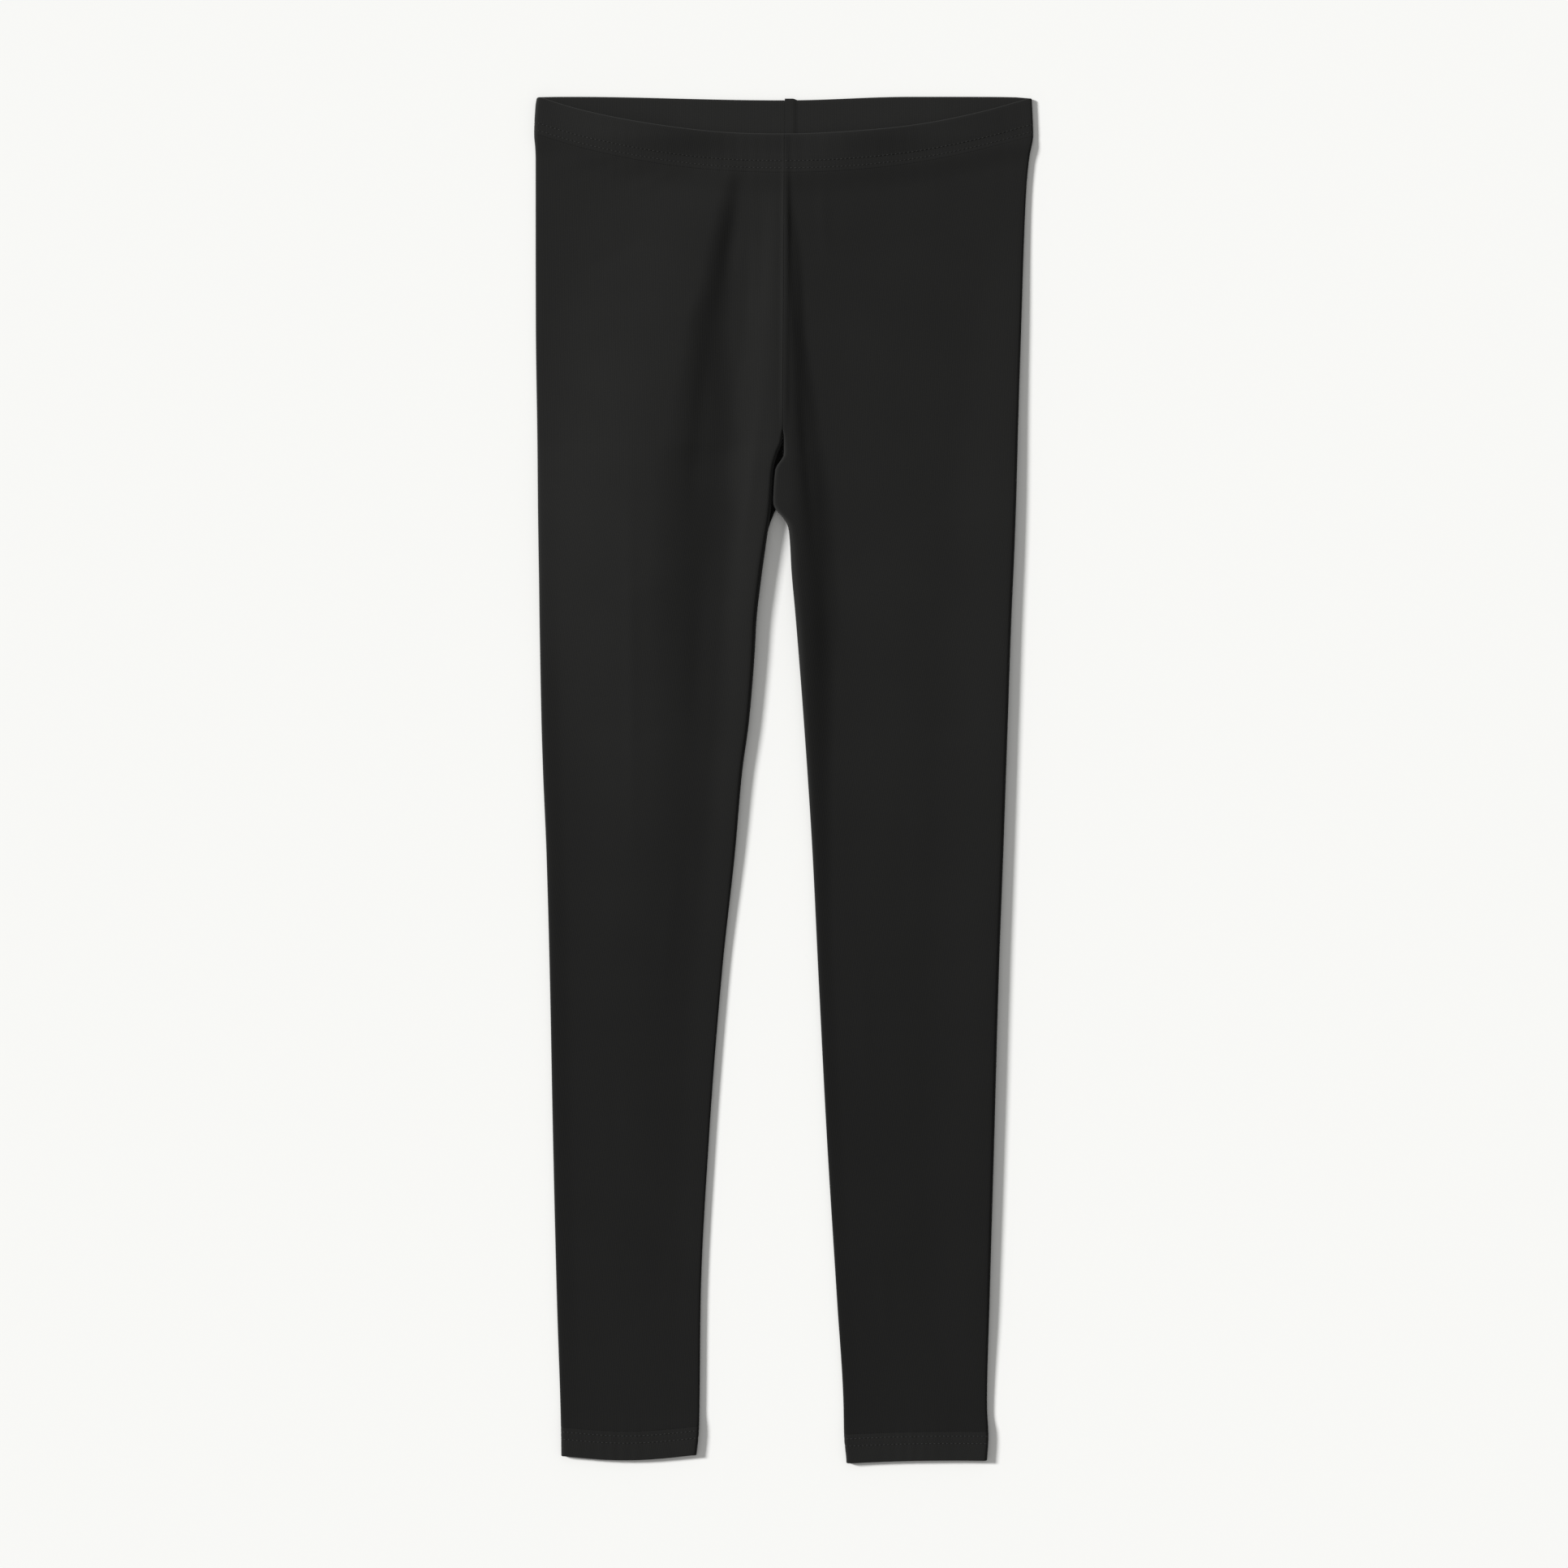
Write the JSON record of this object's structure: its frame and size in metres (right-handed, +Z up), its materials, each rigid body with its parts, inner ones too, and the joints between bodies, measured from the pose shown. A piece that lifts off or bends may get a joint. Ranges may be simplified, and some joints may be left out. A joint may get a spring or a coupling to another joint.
{
  "type": "full-length leggings laid flat",
  "caption": "Full-length black jersey leggings laid flat, front up, with an elastic waist casing, a centre front seam, one-panel legs and turned-up ankle hems.",
  "frame": {"origin": "middle of the footprint, on the surface that the leggings lie on", "axes": "+Y from the hems to the waist, +X towards the wearer's left leg, +Z up off the surface, out of the front of the garment"},
  "size_m": [0.3433, 0.94, 0.0115],
  "materials": {
    "jersey": "matt, fine cotton and elastane jersey",
    "casing": "matt, the same jersey folded over elastic",
    "hem": "matt, the same jersey turned up"
  },
  "bodies": {
    "root": {"leg_right": "jersey", "leg_left": "jersey", "waist_casing_right": "casing", "waist_casing_left": "casing", "hem_right": "hem", "hem_left": "hem"}
  },
  "joints": []
}
